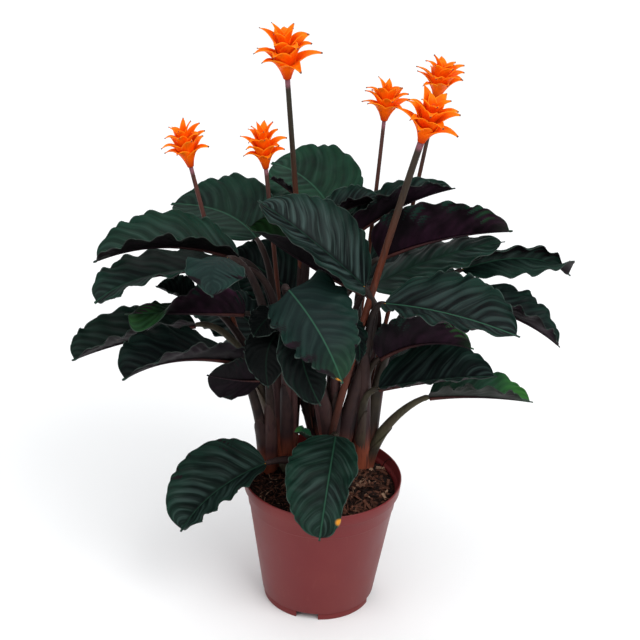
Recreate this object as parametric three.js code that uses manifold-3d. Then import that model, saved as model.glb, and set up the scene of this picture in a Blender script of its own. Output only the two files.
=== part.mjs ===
// Eternal flame calathea in its nursery pot. Millimetres, +Z up, the front of the plant towards -Y.
// The origin is the centre of the pot's base, on the surface that the pot stands on.
//
// The pot is a moulded shell that holds the soil. A rootstock sits in the soil, and the leaf
// stalks and flower stems grow out of it as one body. Each leaf stalk carries one blade, and each
// flower stem one head of orange bracts.
import * as THREE from "three";
import { mergeVertices } from "three/addons/utils/BufferGeometryUtils.js";
import Module from "manifold-3d";

const wasm = await Module();
wasm.setup();

// ---------- driving dimensions ----------

const SEAT_GAP = 0.3; // clearance where two separate pieces meet

// pot
const POT_RADIUS = 70; // outside of the rim
const POT_HEIGHT = 123;
const WALL = 1.6;
const SIDES = 24;
const RIM_BAND = 11;
const BODY_TOP_RADIUS = 66.5; // just under the rim band
const SHOULDER_HEIGHT = 97; // a low stacking step runs round the body here
const BODY_FOOT_RADIUS = 50;
const FOOT_RADIUS = 48.5;
const FOOT_HEIGHT = 7;
const FLOOR_TOP = FOOT_HEIGHT + 2;
const SLOT_COUNT = 4;
const SLOT_WIDTH = 20;
const SLOT_TURN = -100; // where the first slot faces: a little left of the front
const DRAIN_HOLES = 6;
const DRAIN_RADIUS = 5;
const DRAIN_CIRCLE = 30;

// soil
const SOIL_EDGE = 110; // height of the soil along the pot's wall
const CHIPS = 16;
const CHIP_ZONE = 52; // chips lie within this radius

// rootstock and leaf stalks
const STUMP_DEPTH = 15; // how far the rootstock goes into the soil
const CROWN = { at: [0, 30], across: 50, deep: 20 }; // the rootstock's middle and half widths
const CROWN_SIDES = 16;
const STALK_FOOT = 5.8; // radius where the stalk leaves the shoot
const STALK_NECK = 1.9; // radius where it meets the blade
const STALK_SIDES = 5;
const STALK_STEPS = 4;
const SPREAD = 5; // how far the feet of a shoot's stalks stand from its middle
const ARCH = 0.2; // how far ahead of the blade a stalk turns into its line

// leaf blades
const BLADE_THICK = 0.8;
const BLADE_STRIPS = 2; // facets from the midrib to each margin
const LAST_ROW = 0.92; // the last row of facets before the tip stands at this share
const LOBES = 5; // waves along each margin
const RIB = 1.1; // how far the midrib stands out below
const WIDEST = 0.85; // below 1 the widest place moves towards the base
const TIP_FULLNESS = 0.6; // below 0.6 the blade's end is rounder, above it is more drawn out
const DRIP_TIP = 0.03; // the last share of the blade is a thin point
const TWIST_LATE = 5; // the higher, the nearer to the tip a twist starts

// flower heads
const BRACT_THICK = 0.9;
const BRACT_STEPS = 3;
const BRACT_OUTLINE = [0.45, 1, 0.8, 0.06]; // share of its width at each step
const GOLDEN_TURN = 137.5; // degrees from each bract to the next
const CORE_SIDES = 6;

// ---------- shared: closed solids and the joins and cuts between them ----------

const UP = new THREE.Vector3(0, 0, 1);
const degrees = THREE.MathUtils.degToRad;

// A closed three.js geometry as a solid that can be joined and cut.
function solid(geometry) {
  const bare = geometry.clone();
  bare.deleteAttribute("normal");
  bare.deleteAttribute("uv");
  const merged = mergeVertices(bare, 1e-4);
  return new wasm.Manifold(
    new wasm.Mesh({
      numProp: 3,
      vertProperties: merged.attributes.position.array,
      triVerts: new Uint32Array(merged.index.array),
    }),
  );
}

function union(solids) {
  return solids.reduce((whole, next) => whole.add(next));
}

// The solid as a flat-shaded three.js geometry.
function geometryOf(body) {
  const mesh = body.getMesh();
  const geometry = new THREE.BufferGeometry();
  geometry.setAttribute(
    "position",
    new THREE.BufferAttribute(new Float32Array(mesh.vertProperties), 3),
  );
  geometry.setIndex(new THREE.BufferAttribute(new Uint32Array(mesh.triVerts), 1));
  const flat = geometry.toNonIndexed();
  flat.computeVertexNormals();
  return flat;
}

// A closed body through rings of points that all have the same count, with flat ends.
function loft(rings) {
  const count = rings[0].length;
  const points = rings.flat();
  const faces = [];
  const at = (ring, i) => ring * count + (i % count);
  for (let ring = 0; ring + 1 < rings.length; ring++)
    for (let i = 0; i < count; i++) {
      faces.push(at(ring, i), at(ring, i + 1), at(ring + 1, i + 1));
      faces.push(at(ring, i), at(ring + 1, i + 1), at(ring + 1, i));
    }
  const last = rings.length - 1;
  for (let i = 1; i + 1 < count; i++) {
    faces.push(at(0, 0), at(0, i + 1), at(0, i));
    faces.push(at(last, 0), at(last, i), at(last, i + 1));
  }
  const geometry = new THREE.BufferGeometry().setFromPoints(points);
  geometry.setIndex(faces);
  return geometry;
}

// A round stem along a curve, with a radius for each share of its length.
function stem(curve, radiusAt, steps, sides) {
  const frames = curve.computeFrenetFrames(steps, false);
  const rings = [];
  for (let i = 0; i <= steps; i++) {
    const centre = curve.getPoint(i / steps);
    const radius = radiusAt(i / steps);
    const ring = [];
    for (let k = 0; k < sides; k++) {
      const angle = (2 * Math.PI * k) / sides;
      ring.push(
        centre
          .clone()
          .addScaledVector(frames.normals[i], radius * Math.cos(angle))
          .addScaledVector(frames.binormals[i], radius * Math.sin(angle)),
      );
    }
    rings.push(ring);
  }
  return loft(rings);
}

// A thin closed sheet: rows of { point, normal, thick, rib } from one margin to the other.
// Both faces are split into the same triangles, so that they can't cross.
function sheet(rows) {
  const across = rows[0].length;
  const top = rows.map((row) =>
    row.map((c) => c.point.clone().addScaledVector(c.normal, c.thick / 2)),
  );
  const under = rows.map((row) =>
    row.map((c) => c.point.clone().addScaledVector(c.normal, -c.thick / 2 - (c.rib ?? 0))),
  );
  const points = [...top.flat(), ...under.flat()];
  const below = rows.length * across;
  const at = (i, j) => i * across + j;
  const faces = [];
  const quad = (a, b, c, d) => faces.push(a, b, c, a, c, d);
  for (let i = 0; i + 1 < rows.length; i++)
    for (let j = 0; j + 1 < across; j++)
      quad(at(i, j), at(i, j + 1), at(i + 1, j + 1), at(i + 1, j));
  const upper = faces.length;
  for (let k = 0; k < upper; k += 3)
    faces.push(faces[k] + below, faces[k + 2] + below, faces[k + 1] + below);
  const wall = (a, b) => quad(a, a + below, b + below, b);
  for (let i = 0; i + 1 < rows.length; i++) {
    wall(at(i + 1, 0), at(i, 0));
    wall(at(i, across - 1), at(i + 1, across - 1));
  }
  for (let j = 0; j + 1 < across; j++) {
    wall(at(0, j), at(0, j + 1));
    wall(at(rows.length - 1, j + 1), at(rows.length - 1, j));
  }
  const geometry = new THREE.BufferGeometry().setFromPoints(points);
  geometry.setIndex(faces);
  return geometry;
}

// A repeatable stream of numbers from 0 to 1.
function randomStream(seed) {
  let state = seed >>> 0;
  return () => {
    state = (Math.imul(state, 1664525) + 1013904223) >>> 0;
    return state / 4294967296;
  };
}

const part = new THREE.Group();

function place(name, geometry, material) {
  const mesh = new THREE.Mesh(geometry, material);
  mesh.name = name;
  part.add(mesh);
  return mesh;
}

// ---------- pot: thin moulded plastic, with a rim band and a slotted foot ----------

const plastic = new THREE.MeshStandardMaterial({ color: 0x93423e, roughness: 0.45, metalness: 0 });

function potShell() {
  const bandFoot = POT_HEIGHT - RIM_BAND;
  const outline = [
    [0, FLOOR_TOP],
    [BODY_FOOT_RADIUS - WALL, FLOOR_TOP],
    [BODY_TOP_RADIUS - WALL, bandFoot],
    [POT_RADIUS - 1 - WALL, bandFoot + 2],
    [POT_RADIUS - WALL, POT_HEIGHT - 1],
    [POT_RADIUS - WALL / 2, POT_HEIGHT],
    [POT_RADIUS, POT_HEIGHT - 1],
    [POT_RADIUS - 1, bandFoot],
    [BODY_TOP_RADIUS, bandFoot],
    [BODY_TOP_RADIUS - 1.6, SHOULDER_HEIGHT + 0.6],
    [BODY_TOP_RADIUS - 2.4, SHOULDER_HEIGHT],
    [BODY_FOOT_RADIUS, FOOT_HEIGHT],
    [FOOT_RADIUS, FOOT_HEIGHT - 0.6],
    [FOOT_RADIUS, 0],
    [FOOT_RADIUS - WALL, 0],
    [FOOT_RADIUS - WALL, FOOT_HEIGHT],
    [0, FOOT_HEIGHT],
  ];
  const profile = outline.reverse().map(([r, z]) => new THREE.Vector2(r, z));
  const turned = new THREE.LatheGeometry(profile, SIDES).rotateX(Math.PI / 2);
  let shell = solid(turned);
  for (let k = 0; k < SLOT_COUNT; k++) {
    const angle = degrees(SLOT_TURN + (360 * k) / SLOT_COUNT);
    const slot = new THREE.BoxGeometry(12, SLOT_WIDTH, 2 * FOOT_HEIGHT - 2);
    slot.translate(FOOT_RADIUS, 0, 0).rotateZ(angle);
    shell = shell.subtract(solid(slot));
  }
  for (let k = 0; k < DRAIN_HOLES; k++) {
    const angle = (2 * Math.PI * k) / DRAIN_HOLES;
    const hole = new THREE.CylinderGeometry(DRAIN_RADIUS, DRAIN_RADIUS, 8, 8);
    hole.rotateX(Math.PI / 2).translate(DRAIN_CIRCLE, 0, FLOOR_TOP - 1).rotateZ(angle);
    shell = shell.subtract(solid(hole));
  }
  return shell;
}

place("pot", geometryOf(potShell()), plastic);

// ---------- where the plant grows from ----------

// Where each bundle of leaf stalks leaves the soil.
const SHOOTS = {
  edge: [-47, 24],
  left: [-32, 32],
  inner: [-4, 20],
  middle: [10, 28],
  right: [32, 32],
  back: [2, 40],
};

// Each flower: where its stem leaves the soil, a point half-way up, where the head sits; the stem's
// radius at the head; the head's span and height, and how many bracts it has.
const FLOWERS = [
  { name: "tallest", foot: [-8, 42], mid: [-25, 48, 287], top: [-43, 40, 477], radius: 2.2,
    span: 56, height: 50, bracts: 12 },
  { name: "left", foot: [-38, 32], mid: [-80, 25, 250], top: [-120, 19, 404], radius: 1.8,
    span: 42, height: 42, bracts: 11 },
  { name: "inner_left", foot: [-28, 40], mid: [-42, 40, 250], top: [-60, 34, 398], radius: 1.8,
    span: 40, height: 42, bracts: 11 },
  { name: "middle", foot: [14, 42], mid: [28, 66, 258], top: [39, 84, 426], radius: 1.7,
    span: 42, height: 38, bracts: 10 },
  { name: "back_right", foot: [26, 40], mid: [54, 66, 268], top: [84, 84, 448], radius: 1.7,
    span: 44, height: 38, bracts: 10 },
  { name: "front_right", foot: [-2, 14], mid: [29, -8, 282], top: [70, -30, 454], radius: 2.8,
    span: 52, height: 46, bracts: 12 },
];

// ---------- leaf blades ----------

// Each leaf: the shoot that its stalk grows in; the midrib from base over mid to tip; the width.
// roll turns the blade about its midrib, and twist adds to the roll near the tip. fold and curl
// are for the [left, right] half, seen from the base: fold lifts the half where it leaves the
// midrib, and curl bends it on to the margin. wave is the height of the margin's waves, of which
// there are lobes. skew moves the widest place, full is how round the end is, halves widens or
// narrows each half, back draws the base's lobes back along the stalk, and arch is how gently the
// stalk turns into the blade.
const LEAVES = [
  { name: "back_top", shoot: "back",
    base: [4, 60, 340], mid: [-22, 92, 362], tip: [-57, 122, 366],
    width: 84, roll: -15, fold: [10, 15], curl: [-15, 10], wave: 2.5 },
  { name: "upper_left", shoot: "left",
    base: [-65, 36, 333], mid: [-96, 66, 342], tip: [-143, 96, 334],
    width: 80, roll: -18, fold: [15, 20], curl: [0, 0], wave: 2.5 },
  { name: "left_high", shoot: "left",
    base: [-78, -10, 336], mid: [-138, -18, 348], tip: [-196, -26, 334],
    width: 74, roll: 0, fold: [38, 28], curl: [0, 0], wave: 2.5, full: 0.4, skew: 0.95 },
  { name: "left_mid", shoot: "left",
    base: [-77, -20, 332], mid: [-148, -42, 332], tip: [-191, -60, 314],
    width: 77, roll: 20, fold: [5, 20], curl: [0, 0], wave: 2.5,
    twist: -20, full: 0.42, halves: [1, 1.12] },
  { name: "left_small", shoot: "left",
    base: [-84, -55, 358], mid: [-94, -75, 358], tip: [-94, -83, 336],
    width: 54, roll: 0, fold: [-10, -10], curl: [0, 0], wave: 2.5, lobes: 3 },
  { name: "centre_high", shoot: "middle",
    base: [28, -15, 317], mid: [-17, -18, 359], tip: [-63, 5, 382],
    width: 80, roll: -5, fold: [18, 35], curl: [0, 0], wave: 1.5 },
  { name: "centre_behind", shoot: "middle",
    base: [27, 4, 302], mid: [-17, 8, 323], tip: [-73, 14, 356],
    width: 64, roll: 0, fold: [72, 10], curl: [0, 0], wave: 2.5, twist: -70, full: 0.4, skew: 1.1 },
  { name: "right_high", shoot: "right",
    base: [41, 47, 314], mid: [96, 43, 338], tip: [152, 38, 349],
    width: 72, roll: -35, fold: [40, 45], curl: [0, 0], wave: 2.5,
    full: 0.42, skew: 0.6, halves: [0.72, 1.12] },
  { name: "right_upper", shoot: "right",
    base: [36, 15, 303], mid: [88, 22, 328], tip: [145, 24, 346],
    width: 84, roll: 0, fold: [0, 6], curl: [-20, 0], wave: 2.5,
    skew: 0.7, halves: [1.2, 1], full: 0.45 },
  { name: "right_far", shoot: "right",
    base: [112, 40, 310], mid: [167, 55, 316], tip: [209, 70, 294],
    width: 46, roll: 0, fold: [35, -10], curl: [150, 0], wave: 2.5,
    twist: -140, full: 0.35, halves: [0.75, 1.1], arch: 0.35 },
  { name: "right_front", shoot: "right",
    base: [45, -30, 310], mid: [97, -75, 326], tip: [149, -122, 333],
    width: 78, roll: 0, fold: [35, 5], curl: [0, 0], wave: 3, arch: 0.12, halves: [1, 0.62] },
  { name: "right_outer", shoot: "right",
    base: [116, 24, 289], mid: [163, 20, 275], tip: [199, 15, 252],
    width: 58, roll: 0, fold: [30, 45], curl: [0, 0], wave: 2.5, arch: 0.4, halves: [1, 0.85] },
  { name: "left_outer", shoot: "left",
    base: [-114, 6, 263], mid: [-172, -18, 257], tip: [-212, -50, 254],
    width: 64, roll: 0, fold: [45, 30], curl: [0, 0], wave: 2.5, full: 0.45 },
  { name: "left_low", shoot: "edge",
    base: [-77, -28, 248], mid: [-125, -70, 270], tip: [-164, -102, 267],
    width: 76, roll: 0, fold: [42, 18], curl: [0, 0], wave: 2.5,
    full: 0.42, arch: 0.05, halves: [1, 1.12], skew: 0.8 },
  { name: "right_under", shoot: "right",
    base: [45, 2, 241], mid: [82, -8, 263], tip: [123, -14, 262],
    width: 66, roll: -30, fold: [50, 45], curl: [0, 0], wave: 2.5 },
  { name: "right_low", shoot: "right",
    base: [45, 0, 212], mid: [97, -10, 229], tip: [144, -20, 240],
    width: 74, roll: 0, fold: [35, 25], curl: [0, 0], wave: 1.5 },
  { name: "right_lowest", shoot: "right",
    base: [90, 10, 200], mid: [133, 5, 206], tip: [179, 0, 205],
    width: 62, roll: 0, fold: [25, 45], curl: [0, 0], wave: 2.5, arch: 0.12 },
  { name: "front_centre", shoot: "middle",
    base: [-34, -52, 330], mid: [-7, -82, 307], tip: [13, -98, 271],
    width: 86, roll: 25, fold: [-12, -20], curl: [-10, -40], wave: 2.5,
    skew: 0.6, halves: [1, 0.75], back: 22, arch: 0.12 },
  { name: "left_inner", shoot: "left",
    base: [-72, -5, 282], mid: [-116, -22, 289], tip: [-169, -42, 296],
    width: 62, roll: 0, fold: [78, 0], curl: [0, 0], wave: 2.5,
    twist: -180, full: 0.3, halves: [1, 0.4] },
  { name: "left_curl", shoot: "left",
    base: [-115, 19, 280], mid: [-132, 17, 286], tip: [-149, 15, 294],
    width: 36, roll: 0, fold: [25, 75], curl: [0, 0], wave: 1.5, lobes: 4, halves: [1.4, 1] },
  { name: "inner_low_left", shoot: "edge",
    base: [-54, -18, 226], mid: [-76, -36, 235], tip: [-100, -48, 245],
    width: 46, roll: 75, fold: [5, 5], curl: [0, 0], wave: 1, lobes: 4, arch: 0.1 },
  { name: "front_hanging_left", shoot: "left",
    base: [-39, -27, 281], mid: [-50, -47, 269], tip: [-48, -57, 240],
    width: 42, roll: 0, fold: [0, 0], curl: [0, 0], wave: 1, lobes: 4, arch: 0.02 },
  { name: "front_inner_left", shoot: "left",
    base: [-40, -30, 301], mid: [-53, -41, 295], tip: [-62, -48, 283],
    width: 38, roll: 0, fold: [0, 0], curl: [0, 0], wave: 1, lobes: 4 },
  { name: "front_hanging", shoot: "middle",
    base: [-24, -46, 298], mid: [-20, -66, 271], tip: [-4, -77, 237],
    width: 46, roll: 0, fold: [5, 5], curl: [0, 0], wave: 1.5, lobes: 4, arch: 0.05 },
  { name: "inner_right", shoot: "middle",
    base: [17, -20, 288], mid: [25, -24, 271], tip: [27, -26, 251],
    width: 26, roll: 0, fold: [5, 5], curl: [0, 0], wave: 1, lobes: 3 },
  { name: "front_low", shoot: "inner",
    base: [10, -12, 169], mid: [5, -62, 152], tip: [0, -86, 110],
    width: 62, roll: 0, fold: [10, 10], curl: [0, 0], wave: 2, halves: [0.8, 1.2], full: 0.42 },
  { name: "front_young", shoot: "inner",
    base: [-5, 0, 149], mid: [-16, -8, 165], tip: [-26, -12, 172],
    width: 22, roll: 0, fold: [30, 30], curl: [0, 0], wave: 1, lobes: 3 },
  { name: "left_lowest", shoot: "inner",
    base: [-50, -10, 137], mid: [-93, -26, 115], tip: [-121, -46, 86],
    width: 90, roll: -25, fold: [53, 35], curl: [0, 0], wave: 2, full: 0.4, halves: [1.25, 0.92] },
  { name: "back_right", shoot: "back",
    base: [12, 46, 330], mid: [55, 50, 362], tip: [102, 55, 379],
    width: 52, roll: 0, fold: [45, 60], curl: [0, 0], wave: 2.5, halves: [0.9, 1] },
  { name: "back_strip", shoot: "back",
    base: [-10, 50, 344], mid: [15, 52, 359], tip: [41, 54, 364],
    width: 40, roll: 0, fold: [45, 45], curl: [0, 0], wave: 1.5, lobes: 4 },
  { name: "back_small", shoot: "left",
    base: [-31, 54, 365], mid: [-44, 62, 371], tip: [-56, 68, 375],
    width: 30, roll: 40, fold: [10, 10], curl: [0, 0], wave: 1, lobes: 3, arch: 0.1 },
  { name: "back_left", shoot: "back",
    base: [-55, 62, 222], mid: [-90, 80, 242], tip: [-130, 92, 244],
    width: 74, roll: -25, fold: [15, 15], curl: [0, 0], wave: 2.5 },
  { name: "back_centre", shoot: "back",
    base: [-30, 60, 268], mid: [-60, 70, 286], tip: [-90, 78, 298],
    width: 60, roll: -35, fold: [10, 10], curl: [0, 0], wave: 2.5 },
  { name: "back_mid_right", shoot: "back",
    base: [24, 86, 268], mid: [66, 96, 276], tip: [118, 106, 262],
    width: 72, roll: 25, fold: [15, 15], curl: [0, 0], wave: 2.5, halves: [1, 0.6] },
  { name: "back_low_right", shoot: "back",
    base: [60, 52, 205], mid: [75, 94, 205], tip: [105, 113, 175],
    width: 70, roll: 0, fold: [10, 10], curl: [0, 0], wave: 2.5 },
  { name: "back_low_left", shoot: "back",
    base: [-40, 65, 200], mid: [-80, 90, 200], tip: [-112, 115, 172],
    width: 70, roll: 0, fold: [10, 10], curl: [0, 0], wave: 2.5 },
];

// Half the blade's width, as a share of its widest, at share t of its length.
function outlineAt(leaf, t) {
  const body = Math.min(1, t / (1 - DRIP_TIP)) ** (leaf.skew ?? WIDEST);
  const fullness = 0.5 + ((leaf.full ?? TIP_FULLNESS) - 0.5) * t;
  return Math.max(Math.max(0, Math.sin(Math.PI * body)) ** fullness, t < 0.5 ? 0.1 : DRIP_TIP);
}

function midribOf(leaf) {
  const base = new THREE.Vector3(...leaf.base);
  const tip = new THREE.Vector3(...leaf.tip);
  const mid = new THREE.Vector3(...leaf.mid);
  const pull = mid.clone().multiplyScalar(2).addScaledVector(base, -0.5).addScaledVector(tip, -0.5);
  return new THREE.QuadraticBezierCurve3(base, pull, tip);
}

// The middle of the blade's thickness: half is -1 on the left and 1 on the right, and s runs
// from 0 on the midrib to 1 on the margin.
function bladePoint(leaf, midrib, t, half, s) {
  const along = midrib.getTangent(t);
  const heading = new THREE.Vector3().subVectors(midrib.v2, midrib.v0);
  const level = new THREE.Vector3().crossVectors(heading, UP);
  const side = level.addScaledVector(along, -level.dot(along)).normalize();
  side.applyAxisAngle(along, degrees(leaf.roll + (leaf.twist ?? 0) * t ** TWIST_LATE));
  const normal = new THREE.Vector3().crossVectors(side, along);
  const which = half < 0 ? 0 : 1;
  const fold = degrees(leaf.fold[which]);
  const curl = degrees(leaf.curl[which] || 0.01);
  const reach = (leaf.width / 2) * outlineAt(leaf, t) * (leaf.halves?.[which] ?? 1);
  const out = (reach * (Math.sin(fold + curl * s) - Math.sin(fold))) / curl;
  const lift = (reach * (Math.cos(fold) - Math.cos(fold + curl * s))) / curl;
  const lobes = leaf.lobes ?? LOBES;
  const fade = Math.sqrt(Math.sin(Math.PI * Math.min(t, 1)));
  const wave = leaf.wave * s * s * fade * Math.cos(2 * Math.PI * lobes * t + (half < 0 ? Math.PI : 0));
  const lean = fold + curl * s; // the margin waves square to the blade where it is
  const back = (leaf.back ?? 0) * s * s * Math.pow(1 - t, 4) * Math.min(1, t * 12);
  return midrib
    .getPoint(t)
    .addScaledVector(side, half * (out - wave * Math.sin(lean)))
    .addScaledVector(normal, lift + wave * Math.cos(lean))
    .addScaledVector(along, -back);
}

function bladeGeometry(leaf) {
  const midrib = midribOf(leaf);
  const stations = 2 * (leaf.lobes ?? LOBES);
  const spots = [];
  for (let k = BLADE_STRIPS; k > 0; k--) spots.push([-1, k / BLADE_STRIPS]);
  spots.push([1, 0]);
  for (let k = 1; k <= BLADE_STRIPS; k++) spots.push([1, k / BLADE_STRIPS]);
  const shareAt = (i) => (i === stations - 1 ? LAST_ROW : i / stations);
  const grid = [];
  for (let i = 0; i <= stations; i++)
    grid.push(spots.map(([half, s]) => bladePoint(leaf, midrib, shareAt(i), half, s)));
  const last = spots.length - 1;
  const rows = grid.map((row, i) =>
    row.map((point, j) => {
      const along = new THREE.Vector3().subVectors(
        grid[Math.min(i + 1, stations)][j],
        grid[Math.max(i - 1, 0)][j],
      );
      const over = new THREE.Vector3().subVectors(row[Math.min(j + 1, last)], row[Math.max(j - 1, 0)]);
      const normal = new THREE.Vector3().crossVectors(over, along).normalize();
      const rib = j === BLADE_STRIPS ? RIB * (1 - i / stations) : 0;
      return { point, normal, thick: BLADE_THICK, rib };
    }),
  );
  return sheet(rows);
}

const green = new THREE.MeshStandardMaterial({ color: 0x1f3b30, roughness: 0.5, metalness: 0 });
for (const leaf of LEAVES) place(`leaf_${leaf.name}`, bladeGeometry(leaf), green);

// ---------- stalks: the rootstock, and the leaf stalks and flower stems that grow from it ----------

const sheath = new THREE.MeshStandardMaterial({ color: 0x6b3b3a, roughness: 0.55, metalness: 0 });

function stalkCurve(leaf) {
  const midrib = midribOf(leaf);
  const arrival = midrib.getTangent(0);
  const neck = midrib.getPoint(0).addScaledVector(arrival, -SEAT_GAP);
  const foot = new THREE.Vector3(...SHOOTS[leaf.shoot], SOIL_EDGE - 4);
  const outward = new THREE.Vector3(neck.x - foot.x, neck.y - foot.y, 0).normalize();
  foot.addScaledVector(outward, SPREAD);
  const length = neck.distanceTo(foot);
  const rise = foot.clone().addScaledVector(UP, 0.45 * length).addScaledVector(outward, 0.05 * length);
  const bend = neck.clone().addScaledVector(arrival, -(leaf.arch ?? ARCH) * length);
  return new THREE.CubicBezierCurve3(foot, rise, bend, neck);
}

function stalkGeometry(leaf, margin) {
  const taper = (t) => STALK_NECK + (STALK_FOOT - STALK_NECK) * (1 - t) ** 0.9 + margin;
  return stem(stalkCurve(leaf), taper, STALK_STEPS, STALK_SIDES);
}

function flowerStemCurve(flower) {
  const foot = new THREE.Vector3(...flower.foot, SOIL_EDGE);
  const top = new THREE.Vector3(...flower.top);
  const mid = new THREE.Vector3(...flower.mid);
  const pull = mid.clone().multiplyScalar(2).addScaledVector(foot, -0.5).addScaledVector(top, -0.5);
  return new THREE.QuadraticBezierCurve3(foot, pull, top);
}

function flowerStemGeometry(flower, margin) {
  const taper = (t) => flower.radius + 0.5 * (1 - t) + margin;
  return stem(flowerStemCurve(flower), taper, 5, 6);
}

// The rootstock that all of them grow from, an oval plug in the soil.
function crownSolid(margin) {
  const rings = [
    [1, SOIL_EDGE - STUMP_DEPTH - margin],
    [1, SOIL_EDGE + 6],
    [0.8, SOIL_EDGE + 11],
    [0.4, SOIL_EDGE + 13],
  ].map(([share, height]) => {
    const ring = [];
    for (let k = 0; k < CROWN_SIDES; k++) {
      const angle = (2 * Math.PI * k) / CROWN_SIDES;
      const x = CROWN.at[0] + (CROWN.across + margin) * share * Math.cos(angle);
      const y = CROWN.at[1] + (CROWN.deep + margin) * share * Math.sin(angle);
      ring.push(new THREE.Vector3(x, y, height));
    }
    return ring;
  });
  return solid(loft(rings));
}

const leafStalks = LEAVES.map((leaf) => solid(stalkGeometry(leaf, 0)));
const flowerStems = FLOWERS.map((flower) => solid(flowerStemGeometry(flower, 0)));
place("stalks", geometryOf(union([crownSolid(0), ...leafStalks, ...flowerStems])), sheath);

// ---------- flower heads: bracts in tiers round a core, one head on each flower stem ----------

const orange = new THREE.MeshStandardMaterial({ color: 0xf08a0a, roughness: 0.55, metalness: 0 });

// One bract: it climbs out of the head, then bends outwards to a point.
function bractGeometry(turn, start, angles, length, width) {
  const rows = [];
  let radius = start.radius;
  let height = start.height;
  for (let i = 0; i <= BRACT_STEPS; i++) {
    const s = i / BRACT_STEPS;
    const lean = degrees(angles[0] + (angles[1] - angles[0]) * s);
    const half = (width / 2) * BRACT_OUTLINE[i];
    const outward = new THREE.Vector3(Math.cos(turn), Math.sin(turn), 0);
    const across = new THREE.Vector3(-Math.sin(turn), Math.cos(turn), 0);
    const normal = outward.clone().multiplyScalar(-Math.cos(lean)).addScaledVector(UP, Math.sin(lean));
    const centre = outward.clone().multiplyScalar(radius).setZ(height);
    rows.push(
      [1, -1].map((k) => ({
        point: centre.clone().addScaledVector(across, k * half),
        normal,
        thick: BRACT_THICK,
      })),
    );
    radius += (length / BRACT_STEPS) * Math.sin(lean);
    height += (length / BRACT_STEPS) * Math.cos(lean);
  }
  return sheet(rows);
}

function flowerHead(flower) {
  const tall = flower.height;
  const outline = [
    [flower.radius + 0.3, 0],
    [flower.radius + 1.2, 0.14 * tall],
    [0.16 * tall, 0.42 * tall],
    [0.1 * tall, 0.66 * tall],
    [0.02 * tall, 0.76 * tall],
  ];
  const core = outline.map(([radius, height]) => {
    const ring = [];
    for (let k = 0; k < CORE_SIDES; k++) {
      const angle = (2 * Math.PI * k) / CORE_SIDES;
      ring.push(new THREE.Vector3(radius * Math.cos(angle), radius * Math.sin(angle), height));
    }
    return ring;
  });
  const pieces = [solid(loft(core))];
  for (let k = 0; k < flower.bracts; k++) {
    const u = k / (flower.bracts - 1); // 0 for the lowest bract, 1 for the innermost
    const start = { radius: (0.075 + 0.02 * u) * tall, height: (0.26 + 0.34 * u) * tall };
    const angles = [28 - 22 * u, 125 - 70 * u];
    const length = (0.62 - 0.2 * u) * flower.span * 0.95;
    const width = (0.26 - 0.06 * u) * flower.span;
    pieces.push(solid(bractGeometry(degrees(GOLDEN_TURN * k), start, angles, length, width)));
  }
  const head = union(pieces);
  const curve = flowerStemCurve(flower);
  const turn = new THREE.Quaternion().setFromUnitVectors(UP, curve.getTangent(1));
  const seat = curve.getPoint(1).addScaledVector(curve.getTangent(1), SEAT_GAP);
  const matrix = new THREE.Matrix4().compose(seat, turn, new THREE.Vector3(1, 1, 1));
  return geometryOf(head).applyMatrix4(matrix);
}

for (const flower of FLOWERS) place(`flower_${flower.name}`, flowerHead(flower), orange);

// ---------- soil: bark and coir chips in one body, with a hole for the rootstock and stems ----------

const soilColour = new THREE.MeshStandardMaterial({ color: 0x5a3a24, roughness: 0.95, metalness: 0 });

function ringOf(radius, height, shift, uneven, random) {
  const ring = [];
  for (let i = 0; i < SIDES; i++) {
    const angle = (2 * Math.PI * i) / SIDES;
    const bump = uneven * (random() - 0.5);
    ring.push(
      new THREE.Vector3(radius * Math.sin(angle), shift - radius * Math.cos(angle), height + bump),
    );
  }
  return ring;
}

function soilBody() {
  const random = randomStream(7);
  const slope = (BODY_TOP_RADIUS - BODY_FOOT_RADIUS) / (POT_HEIGHT - RIM_BAND - FLOOR_TOP);
  const clear = 1.4 * SEAT_GAP;
  const foot = BODY_FOOT_RADIUS - WALL - clear;
  let body = solid(
    loft([
      ringOf(foot, FLOOR_TOP + SEAT_GAP, 0, 0, random),
      ringOf(foot + slope * (SOIL_EDGE - FLOOR_TOP), SOIL_EDGE, 0, 0, random),
      ringOf(52, SOIL_EDGE + 3, 3, 2, random),
      ringOf(36, SOIL_EDGE + 8, 8, 2, random),
      ringOf(14, SOIL_EDGE + 10, 12, 0, random),
    ]),
  );
  for (let k = 0; k < CHIPS; k++) {
    const radius = CHIP_ZONE * Math.sqrt(random());
    const angle = 2 * Math.PI * random();
    const chip = new THREE.BoxGeometry(7 + 8 * random(), 3 + 3 * random(), 2.5 + 2 * random());
    const height = SOIL_EDGE + 10 - 9 * (radius / 60) ** 2;
    chip.rotateX(0.5 * (random() - 0.5)).rotateY(0.6 * (random() - 0.5));
    chip.rotateZ(Math.PI * random());
    chip.translate(radius * Math.cos(angle), radius * Math.sin(angle), height);
    body = body.add(solid(chip));
  }
  body = body.subtract(crownSolid(SEAT_GAP));
  for (const leaf of LEAVES) body = body.subtract(solid(stalkGeometry(leaf, SEAT_GAP)));
  for (const flower of FLOWERS) body = body.subtract(solid(flowerStemGeometry(flower, SEAT_GAP)));
  const whole = body.decompose().sort((a, b) => b.volume() - a.volume());
  return whole[0];
}

place("soil", geometryOf(soilBody()), soilColour);

export default part;
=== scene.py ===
# An eternal flame calathea in its nursery pot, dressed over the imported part. Metres, +Z up.
import math
import random

import bmesh
import bpy
from mathutils import Matrix, Quaternion, Vector, noise


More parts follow.
